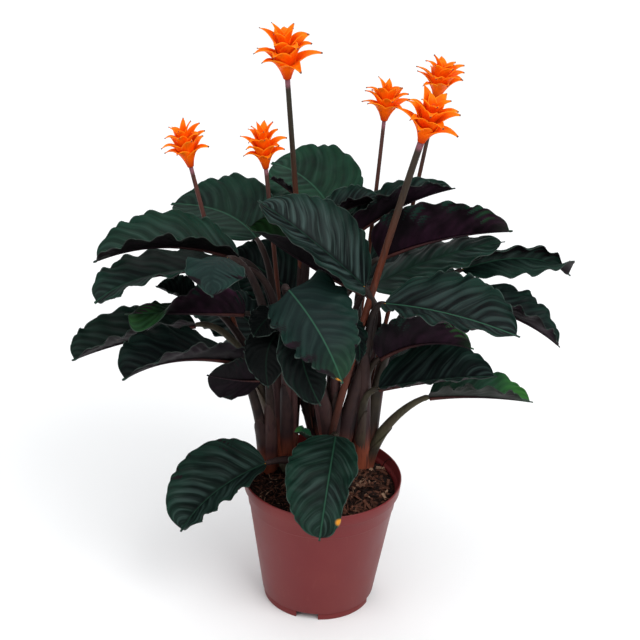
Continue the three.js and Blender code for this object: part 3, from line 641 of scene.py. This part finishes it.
def blade(leaf):
    """The blade as a shell with two faces and a rim, and the midrib's ridge below it."""
    bm = bmesh.new()
    names = ("along", "across", "veins", "rib", "rim", "seed", *LOOKS)
    layer = {name: bm.verts.layers.float.new(name) for name in names}
    seed = sum(map(ord, leaf["name"])) % 37 / 37
    frames = {}
    bmesh.ops.create_grid(bm, x_segments=BLADE_LENGTHS, y_segments=BLADE_WIDTHS, size=1.0)
    for vert in bm.verts:
        t = 0.5 - 0.5 * math.cos(math.pi * (vert.co.x + 1) / 2)
        spot = -vert.co.y
        reach = half_width(leaf, t, 0 if spot < 0 else 1)
        at, side, size = leaf.get("burnt", (0, 0, 0.01))
        burn = math.exp(-((t - at) / size) ** 2 - ((spot - side) / (9 * size)) ** 2)
        own = {"along": t, "across": spot, "veins": vein_count(leaf, t, spot), "rib": abs(spot) * reach,
               "rim": (1 - abs(spot)) * reach, "seed": seed, "burn": burn}
        for name in names:
            vert[layer[name]] = own.get(name, leaf.get(name, LOOKS.get(name, 0)))
        station = round(t * 1e5)
        if station not in frames:
            frames[station] = blade_frame(leaf, t)
        vert.co = blade_point(leaf, frames[station], t, spot)
    upper = list(bm.faces)
    bmesh.ops.solidify(bm, geom=upper, thickness=BLADE_THICK)
    top = set(upper)
    for face in bm.faces:
        if face not in top:
            face.material_index = 1
    points = []
    radii = []
    shares = [RIDGE_END * k / RIDGE_STEPS for k in range(RIDGE_STEPS + 1)]
    for t in shares:
        radius = RIDGE_RADIUS * (1 - 0.88 * t) * min(1, leaf["width"] / 0.06)
        place, _, _, normal = blade_frame(leaf, t)
        points.append(place - normal * (radius + 0.0002))
        radii.append(radius)
    for face in sweep(bm, points, radii, 8, {layer["along"]: shares}):
        face.material_index = 2
    return bm


def vein_pattern(start):
    """What both faces share: the share of the way to the margin, the waves that the side veins
    make, and a vector that runs along them."""
    side = start.math("ABSOLUTE", start.marked("across"))
    veins = start.marked("veins") + start.place().spots(18, 1) * 0.3 - 0.15
    half = start.math("SIGN", start.marked("across"))
    sockets = {"X": veins, "Y": side * 1.5, "Z": half * 7 + start.marked("seed") * 40}
    lines = start.node("ShaderNodeCombineXYZ", {}, sockets)
    ridge = 0.5 - 0.5 * start.math("COSINE", veins * (2 * math.pi))
    return side, ridge, lines


def stretched(lines, across, along):
    """The vector along the veins, with its pattern drawn out into streaks."""
    return lines.node("ShaderNodeVectorMath", {"operation": "MULTIPLY"}, {0: lines, 1: (across, along, 1)})


def leaf_top():
    """Dark blue-green, greener outwards, with silver streaks that thin out to the margin."""
    material, start, surface = new_finish("leaf top", {"Specular IOR Level": 0.07})
    side, ridge, lines = vein_pattern(start)
    streak = stretched(lines, 2.2, 0.5).spots(1.0, 3)
    fine = stretched(lines, 7, 0.6).spots(1.0, 3)
    cloud = start.place().spots(34, 3)
    silver, fresh = start.marked("silver"), start.marked("fresh")
    colour = cloud.rise(0.35, 0.65).mix(tint("#060a0c"), tint("#0b1313"))
    colour = (ridge.rise(0.1, 1.0) * 0.45).mix(colour, tint("#14231f"))
    green = side.rise(0.4, 0.9) * (0.3 + 0.7 * streak.rise(0.4, 0.6))
    colour = (green * 0.7).mix(colour, tint("#0e2d23"))
    reach = side.rise(0.02, 0.14) * (1 - side.rise(0.6, 0.95) * 0.8)
    band = (0.3 + 0.7 * ridge) * streak.rise(0.42, 0.64) * reach * silver
    colour = band.mix(colour, tint("#374845"))
    threads = fine.rise(0.5, 0.68) * reach * cloud.rise(0.35, 0.6) * silver
    colour = (threads * 0.45).mix(colour, tint("#42524e"))
    uneven = (0.35 + 0.65 * cloud.rise(0.3, 0.6)) * (0.7 + 0.3 * ridge)
    colour = (fresh * uneven).mix(colour, tint("#1f4a33"))
    tip = start.marked("green_tip") * start.marked("along").rise(0.55, 0.95) * uneven
    colour = tip.mix(colour, tint("#37702f"))
    colour = (start.marked("pale") * 0.8).mix(colour, tint("#243a37"))
    # Painted shade: leaves deep in the plant are pulled towards near black. This is partly their own deep
    # colour.
    colour = start.marked("dark").mix(colour, tint("#050808"))
    midrib = 1 - start.marked("rib").rise(0.0003, 0.001)
    colour = (midrib * start.marked("midrib")).mix(colour, tint("#2f5a45"))
    colour = start.marked("burn").rise(0.3, 0.8).mix(colour, tint("#d08a2c"))
    rim = 1 - start.marked("rim").rise(0.0002, 0.0007)
    (rim * 0.5).mix(colour, tint("#4f6159")).feed(surface, "Base Color")
    (0.42 + fine * 0.16).feed(surface, "Roughness")
    (fine * 0.6 + ridge * 0.3).raise_surface(surface, 0.3, 0.0006)
    return material


def leaf_under():
    """Nearly black burgundy, with purple breaking through in clouds."""
    material, start, surface = new_finish("leaf under", {"Specular IOR Level": 0.08})
    _, ridge, lines = vein_pattern(start)
    fine = stretched(lines, 9, 0.7).spots(1.0, 3)
    streak = stretched(lines, 0.7, 0.8).spots(1.2, 3)
    cloud = start.place().spots(26, 3)
    purple = start.marked("purple")
    colour = streak.rise(0.35, 0.7).mix(tint("#0d090c"), tint("#1a1218"))
    glow = cloud.rise(0.36, 0.64) * (0.55 + 0.45 * ridge) * (0.4 + 0.6 * streak.rise(0.35, 0.6))
    colour = (glow * (0.15 + purple * 0.85)).mix(colour, tint("#3f2236"))
    young = start.marked("fresh") * 0.4 + start.marked("green_tip") * start.marked("along").rise(0.8, 1.0)
    colour = young.math("MINIMUM", young, 1.0).mix(colour, tint("#1d3a25"))
    colour = start.marked("burn").rise(0.3, 0.8).mix(colour, tint("#a8702c"))
    # Painted shade below as well: leaves deep in the plant go near black. This is partly their own deep
    # colour.
    colour = start.marked("dark").mix(colour, tint("#050507"))
    rim = 1 - start.marked("rim").rise(0.0002, 0.0006)
    (rim * 0.5).mix(colour, tint("#3a443e")).feed(surface, "Base Color")
    (0.5 + fine * 0.12).feed(surface, "Roughness")
    (fine * 0.4 + ridge * 0.8).raise_surface(surface, 0.35, 0.0006)
    return material


def midrib_ridge():
    """The midrib below the blade: red-brown where it leaves the stalk, and plum towards the tip."""
    material, start, surface = new_finish("midrib ridge", {"Specular IOR Level": 0.15})
    grain = start.place().spots(300, 2)
    colour = start.marked("along").rise(0.0, 0.6).mix(tint("#4c2a26"), tint("#22141b"))
    (grain.rise(0.4, 0.7) * 0.4).mix(colour, tint("#1d1216")).feed(surface, "Base Color")
    (0.45 + grain * 0.15).feed(surface, "Roughness")
    return material


leaf_finishes = [leaf_top(), leaf_under(), midrib_ridge()]
for leaf in LEAVES:
    finished(blade(leaf), "blade_" + leaf["name"], leaf_finishes, "blade", "leaf_" + leaf["name"])

# ---------- leaf stalks ----------
# Long stalks stand in tight bundles on the rootstock. The lower half of each is clasped by the
# thin sheath of its own base, with a dry pale edge. Above it the stalk tapers, and it thickens a
# little just under the blade. The short stub of a stalk that was cut off stands at the left.

STALK_FOOT = 0.0058
STALK_NECK = 0.0019
STALK_SPREAD = 0.005
STALK_ARCH = 0.2
SEAT_GAP = 0.0003
STALK_STEPS = 28
STALK_SIDES = 14
TONE_STEP = 0.618
SHEATH_THICK = 0.0005
SHEATH_LENGTHS = 20
SHEATH_WIDTHS = 12
SHEATH_WRAP = math.radians(128)
STUB_POINTS = [(-0.027, 0.014, 0.112), (-0.031, 0.010, 0.120), (-0.035, 0.008, 0.129)]
STUB_RADII = [0.0052, 0.0056, 0.0050]


def stalk_line(leaf, t):
    """The stalk's middle line, from the rootstock to the blade's base."""
    base, arrival = midrib_at(leaf, 0)
    neck = base - arrival * SEAT_GAP
    foot = Vector((*SHOOTS[leaf["shoot"]], SOIL_EDGE - 0.004))
    outward = Vector((neck.x - foot.x, neck.y - foot.y, 0)).normalized()
    foot = foot + outward * STALK_SPREAD
    length = (neck - foot).length
    rise = foot + Vector((0, 0, 0.45 * length)) + outward * 0.05 * length
    bend = neck - arrival * leaf.get("arch", STALK_ARCH) * length
    return ((1 - t) ** 3 * foot + 3 * t * (1 - t) ** 2 * rise
            + 3 * t * t * (1 - t) * bend + t ** 3 * neck)


def stalk_radius(t):
    joint = 0.0004 * math.exp(-((t - 0.93) / 0.035) ** 2)
    return STALK_NECK + (STALK_FOOT - STALK_NECK) * (1 - t) ** 0.9 + joint


def leaf_stalks():
    bm = bmesh.new()
    layers = [bm.verts.layers.float.new(name) for name in ("along", "tone", "olive", "edge")]
    shares = [i / STALK_STEPS for i in range(STALK_STEPS + 1)]
    for k, leaf in enumerate(LEAVES):
        path = [stalk_line(leaf, t) for t in shares]
        looks = [[value] * len(shares) for value in (k * TONE_STEP % 1, leaf.get("olive", 0.15), 1.0)]
        radii = [stalk_radius(t) for t in shares]
        sweep(bm, path, radii, STALK_SIDES, dict(zip(layers, (shares, *looks))))
    looks = [[value] * len(STUB_POINTS) for value in (0.4, 0.6, 1.0, 1.0)]
    sweep(bm, [Vector(p) for p in STUB_POINTS], STUB_RADII, STALK_SIDES, dict(zip(layers, looks)))
    bmesh.ops.recalc_face_normals(bm, faces=bm.faces)
    return bm


def sheaths():
    """Thin shells round the outer side of each stalk's foot, narrowing to a point above."""
    bm = bmesh.new()
    along, tone, olive, edge = [bm.verts.layers.float.new(n) for n in ("along", "tone", "olive", "edge")]
    stream = random.Random(5)
    for k, leaf in enumerate(LEAVES):
        reach = stream.uniform(0.36, 0.6)
        lean = stream.uniform(-0.5, 0.5)
        foot, neck = stalk_line(leaf, 0), stalk_line(leaf, 1)
        outward = Vector((neck.x - foot.x, neck.y - foot.y, 0)).normalized()
        outward.rotate(Quaternion((0, 0, 1), lean))
        made = bmesh.ops.create_grid(bm, x_segments=SHEATH_LENGTHS, y_segments=SHEATH_WIDTHS, size=1.0)
        for vert in made["verts"]:
            u, v = (vert.co.x + 1) / 2, vert.co.y
            t = u * reach
            heading = (stalk_line(leaf, t + 0.01) - stalk_line(leaf, t)).normalized()
            out = (outward - heading * outward.dot(heading)).normalized()
            angle = -v * SHEATH_WRAP * (1 - u ** 3 * 0.85)
            radius = stalk_radius(t) + 0.0003 + 0.0022 * (1 - u) + 0.0005 * abs(v) ** 3
            vert[along], vert[tone], vert[edge] = t, (k * TONE_STEP + 0.3) % 1, 1 - abs(v)
            vert[olive] = leaf.get("olive", 0.15)
            vert.co = (stalk_line(leaf, t) + out * radius * math.cos(angle)
                       + heading.cross(out) * radius * math.sin(angle))
    bmesh.ops.solidify(bm, geom=list(bm.faces), thickness=SHEATH_THICK)
    bmesh.ops.recalc_face_normals(bm, faces=bm.faces)
    return bm


def stalk_skin():
    """Plum brown, orange-red at the foot and olive on some stalks, with fine lines lengthwise."""
    material, start, surface = new_finish("stalk skin", {"Specular IOR Level": 0.12})
    along, tone, olive = start.marked("along"), start.marked("tone"), start.marked("olive")
    cloud = start.place().spots(55, 3)
    line = start.place((1, 1, 0.05)).spots(330, 3)
    colour = tone.rise(0.1, 0.9).mix(tint("#221a1e"), tint("#4a2f31"))
    colour = (cloud.rise(0.4, 0.7) * 0.5).mix(colour, tint("#3f2829"))
    colour = (along.rise(0.3, 0.7) * 0.65).mix(colour, tint("#171114"))
    foot = (1 - (along + cloud * 0.06).rise(0.07, 0.25)) * 0.8
    colour = foot.mix(colour, tint("#a6563b"))
    green = olive * (0.55 + 0.45 * cloud.rise(0.35, 0.65)) * along.rise(0.05, 0.3)
    colour = green.mix(colour, tint("#4c4837"))
    colour = (line.rise(0.5, 0.72) * 0.5).mix(colour, tint("#1d1418"))
    dry = (1 - start.marked("edge").rise(0.01, 0.07)) * cloud.rise(0.3, 0.6)
    (dry * 0.3).mix(colour, tint("#5c4f3e")).feed(surface, "Base Color")
    (0.42 + line * 0.2).feed(surface, "Roughness")
    line.raise_surface(surface, 0.4, 0.0005)
    return material


stalk_finish = stalk_skin()
finished(leaf_stalks(), "leaf_stalks", [stalk_finish], "stalk", "stalks")
finished(sheaths(), "stalk_sheaths", [stalk_finish], "stalk", "stalks")

# ---------- flower stems ----------
# Wiry stems that rise straight from the rootstock through the leaves: red-brown low down, grey
# olive or mauve brown above, and mauve for the last few millimetres under the flower head.

# brown is how brown the upper stem is, and spin turns the flower head on it.
FLOWERS = [
    dict(name="tallest", foot=(-0.008, 0.042), mid=(-0.025, 0.048, 0.287),
         top=(-0.043, 0.04, 0.477), radius=0.0022, span=0.056, height=0.05, brown=0.0, spin=10),
    dict(name="left", foot=(-0.038, 0.032), mid=(-0.08, 0.025, 0.25),
         top=(-0.12, 0.019, 0.404), radius=0.0018, span=0.042, height=0.042, brown=1.0, spin=35),
    dict(name="inner_left", foot=(-0.028, 0.04), mid=(-0.042, 0.04, 0.25),
         top=(-0.0585, 0.034, 0.399), radius=0.0018, span=0.04, height=0.042, brown=0.8, spin=60),
    dict(name="middle", foot=(0.014, 0.042), mid=(0.028, 0.066, 0.258),
         top=(0.039, 0.084, 0.426), radius=0.0017, span=0.045, height=0.038, brown=0.7, spin=20),
    dict(name="back_right", foot=(0.026, 0.04), mid=(0.054, 0.066, 0.268),
         top=(0.082, 0.084, 0.448), radius=0.0017, span=0.047, height=0.038, brown=0.4, spin=75),
    dict(name="front_right", foot=(-0.002, 0.014), mid=(0.029, -0.008, 0.282),
         top=(0.0665, -0.03, 0.4555), radius=0.0028, span=0.052, height=0.046, brown=0.1, spin=45),
]
STEM_STEPS = 48


def stem_line(flower, t):
    foot = Vector((*flower["foot"], SOIL_EDGE))
    return arc_at(foot, Vector(flower["mid"]), Vector(flower["top"]), t)[0]


def flower_stems():
    bm = bmesh.new()
    along, brown = bm.verts.layers.float.new("along"), bm.verts.layers.float.new("brown")
    shares = [i / STEM_STEPS for i in range(STEM_STEPS + 1)]
    for flower in FLOWERS:
        path = [stem_line(flower, t) for t in shares]
        radii = [flower["radius"] + 0.0005 * (1 - t) for t in shares]
        marks = {along: shares, brown: [flower["brown"]] * len(shares)}
        sweep(bm, path, radii, STALK_SIDES, marks)
    bmesh.ops.recalc_face_normals(bm, faces=bm.faces)
    return bm


def stem_skin():
    material, start, surface = new_finish("stem skin", {"Specular IOR Level": 0.15})
    along = start.marked("along")
    cloud = start.place().spots(90, 3)
    line = start.place((1, 1, 0.05)).spots(420, 3)
    upper = start.marked("brown").mix(tint("#2f2b22"), tint("#5a3832"))
    lower = (along + cloud * 0.1).rise(0.2, 0.5).mix(tint("#43261f"), tint("#643324"))
    colour = (along + cloud * 0.1).rise(0.66, 0.94).mix(lower, upper)
    colour = (line.rise(0.5, 0.7) * 0.5).mix(colour, tint("#2b2423"))
    along.rise(0.975, 0.99).mix(colour, tint("#7d4f58")).feed(surface, "Base Color")
    (0.45 + line * 0.2).feed(surface, "Roughness")
    line.raise_surface(surface, 0.35, 0.0004)
    return material


finished(flower_stems(), "flower_stems", [stem_skin()], "stalk", "stalks")

# ---------- rootstock ----------
# The woody crown that the stalks grow from, sunk in the soil and roughened by old sheath scraps.

crown = bmesh.new()
crown_place = Matrix.LocRotScale(Vector((0, 0.030, 0.112)), None, Vector((0.046, 0.020, 0.011)))
bmesh.ops.create_uvsphere(crown, u_segments=64, v_segments=28, radius=1.0, matrix=crown_place)
for vert in crown.verts:
    vert.co += vert.normal * 0.002 * noise.noise(vert.co * 120)
finished(crown, "rootstock", [coir_crumb()], "stalk", "stalks")

# ---------- flower heads ----------
# Each head is a trumpet of waxy orange bracts in four tiers. They clasp each other below, then
# bend out to a point with a thin brown end: the low ones roll right back, the high ones stand up.

# How many bracts a tier has, the turn of its first one, the width of a bract, and the four points
# that draw its bend: (share of half the head's span, share of its height).
BRACT_TIERS = [
    (5, 0, 0.38, ((0.10, 0.00), (0.20, 0.20), (0.42, 0.48), (1.02, 0.42))),
    (5, 36, 0.36, ((0.13, 0.10), (0.26, 0.36), (0.44, 0.66), (0.98, 0.62))),
    (5, 12, 0.32, ((0.12, 0.26), (0.22, 0.52), (0.34, 0.80), (0.80, 0.79))),
    (4, 50, 0.24, ((0.08, 0.42), (0.15, 0.66), (0.18, 0.82), (0.46, 0.93))),
]
BRACT_THICK = 0.0005
BRACT_LENGTHS = 20
BRACT_WIDTHS = 10


def bend_at(points, s):
    """The place and the way on of a cubic bend at share s."""
    a, b, c, d = points
    place = (1 - s) ** 3 * a + 3 * s * (1 - s) ** 2 * b + 3 * s * s * (1 - s) * c + s ** 3 * d
    way = (1 - s) ** 2 * (b - a) + 2 * s * (1 - s) * (c - b) + s * s * (d - c)
    return place, way.normalized()


def bract(bm, layers, head, turn, points, width):
    """One bract, bent lengthwise and wrapped round the head's axis."""
    along, across = layers
    made = bmesh.ops.create_grid(bm, x_segments=BRACT_LENGTHS, y_segments=BRACT_WIDTHS, size=1.0)
    for vert in made["verts"]:
        s, x = (vert.co.x + 1) / 2, vert.co.y
        place, way = bend_at(points, s)
        rest = max(0.0, (s - 0.42) / 0.58)
        half = width * min(0.5 + 1.2 * s, 1) * max(0.02, 1 - rest) ** 0.95
        cup = half * (0.1 + 0.35 * rest) * x * x + 0.0004 * x
        radius = place.x - way.y * cup
        around = turn + x * half / max(place.x, 0.0015)
        vert[along], vert[across] = s, x
        vert.co = head @ Vector((radius * math.cos(around), radius * math.sin(around),
                                 place.y + way.x * cup))
    return made["verts"]


def flower_head(flower):
    bm = bmesh.new()
    layers = [bm.verts.layers.float.new(name) for name in ("along", "across")]
    tall, half_span = flower["height"], flower["span"] / 2
    top, below = stem_line(flower, 1), stem_line(flower, 0.99)
    heading = (top - below).normalized()
    upright = Vector((0, 0, 1)).rotation_difference(heading)
    head = Matrix.Translation(top + heading * SEAT_GAP) @ upright.to_matrix().to_4x4()
    stream = random.Random(flower["name"])
    for count, first, width, shape in BRACT_TIERS:
        for k in range(count):
            turn = math.radians(flower["spin"] + first + 360 * k / count + stream.uniform(-14, 14))
            wide, high = stream.uniform(0.84, 1.08), stream.uniform(0.93, 1.05)
            drawn = [Vector((r * half_span * (1 + (wide - 1) * i / 3), z * tall * (1 + (high - 1) * i / 3)))
                     for i, (r, z) in enumerate(shape)]
            drawn[3].y += stream.uniform(-0.09, 0.07) * tall
            bract(bm, layers, head, turn, drawn, width * half_span)
    bmesh.ops.solidify(bm, geom=list(bm.faces), thickness=BRACT_THICK)
    along, across = layers
    core = [(0.0, flower["radius"] + 0.0003), (0.14, flower["radius"] + 0.0008),
            (0.42, 0.12 * tall), (0.66, 0.08 * tall), (0.76, 0.02 * tall)]
    path = [head @ Vector((0, 0, share * tall)) for share, _ in core]
    sweep(bm, path, [radius for _, radius in core], 16, {along: [0.1] * 5, across: [0.0] * 5})
    bmesh.ops.recalc_face_normals(bm, faces=bm.faces)
    return bm


def waxy_orange():
    material, start, surface = new_finish("waxy orange", {"Specular IOR Level": 0.06})
    along = start.marked("along")
    side = start.math("ABSOLUTE", start.marked("across"))
    cloud = start.place().spots(130, 2)
    line = start.place((1, 1, 0.2)).spots(700, 2)
    # Deeper red towards each bract's foot: partly the bracts' own colour, partly painted shade inside the
    # trumpet where the bracts clasp.
    colour = along.rise(0.0, 0.4).mix(tint("#c23a06"), tint("#fb5f01"))
    colour = (along.rise(0.45, 0.85) * cloud.rise(0.3, 0.65) * 0.6).mix(colour, tint("#f58a10"))
    colour = (side.rise(0.7, 1.0) * along.rise(0.25, 0.6) * 0.55).mix(colour, tint("#f7981c"))
    colour = (line.rise(0.5, 0.75) * 0.2).mix(colour, tint("#c93c05"))
    along.rise(0.95, 0.99).mix(colour, tint("#6a4436")).feed(surface, "Base Color")
    (0.42 + cloud * 0.15).feed(surface, "Roughness")
    (line * 0.5 + cloud * 0.5).raise_surface(surface, 0.25, 0.0004)
    return material


orange = waxy_orange()
for flower in FLOWERS:
    name = "flower_" + flower["name"]
    finished(flower_head(flower), "head_" + flower["name"], [orange], "bract", name)

# ---------- floor, light and camera ----------
# A plain pale floor, a large soft light high on the right, a fill on the left, a weak one behind,
# and a sky that is brightest overhead.

floor_bm = bmesh.new()
bmesh.ops.create_circle(floor_bm, cap_ends=True, segments=96, radius=12.0)
floor = placed(floor_bm, "floor")
floor_finish, _, _ = new_finish("pale floor", {"Base Color": (0.9, 0.9, 0.9, 1), "Roughness": 0.9})
floor.data.materials.append(floor_finish)


def soft_light(name, place, target, size, watts):
    lamp = bpy.data.lights.new(name, "AREA")
    lamp.shape = "DISK"
    lamp.size = size
    lamp.energy = watts
    holder = bpy.data.objects.new(name, lamp)
    holder.location = place
    aim = Vector(target) - Vector(place)
    holder.rotation_mode = "QUATERNION"
    holder.rotation_quaternion = aim.to_track_quat("-Z", "Y")
    bpy.context.scene.collection.objects.link(holder)


soft_light("key", (1.4, -1.6, 2.4), (0, 0, 0.25), 2.2, 52)
soft_light("fill", (-1.8, -1.2, 1.3), (0, 0, 0.25), 2.0, 14)
soft_light("back", (-0.6, 2.0, 2.4), (0, 0, 0.3), 1.6, 10)
sky = bpy.data.worlds.new("pale sky")
sky.use_nodes = True
background = sky.node_tree.nodes["Background"]
background.inputs["Color"].default_value = (0.97, 0.985, 1, 1)
sky_start = Wire(sky.node_tree)
way = sky_start.node("ShaderNodeTexCoord", {}, {}, "Generated")
height = sky_start.node("ShaderNodeSeparateXYZ", {}, {0: way}, "Z").rise(0.0, 1.0)
low = 1 - height
(0.05 + 0.5 * low * low * low * low + 1.4 * height * height).feed(background, "Strength")
bpy.context.scene.world = sky

CAMERA_PLACE = Vector((0, -1.5, 1.067))
CAMERA_DOWN = math.radians(27.8)
CAMERA_YAW = math.radians(-0.3)
CAMERA_ROLL = math.radians(2.4)
camera = bpy.data.objects.new("camera", bpy.data.cameras.new("camera"))
camera.data.lens = 112.5
camera.data.sensor_width = 36
turn = Matrix.Rotation(-CAMERA_YAW, 4, "Z") @ Matrix.Rotation(math.pi / 2 - CAMERA_DOWN, 4, "X")
camera.matrix_world = Matrix.Translation(CAMERA_PLACE) @ turn @ Matrix.Rotation(CAMERA_ROLL, 4, "Z")
bpy.context.scene.collection.objects.link(camera)
bpy.context.scene.camera = camera
bpy.context.scene.view_settings.view_transform = "Standard"
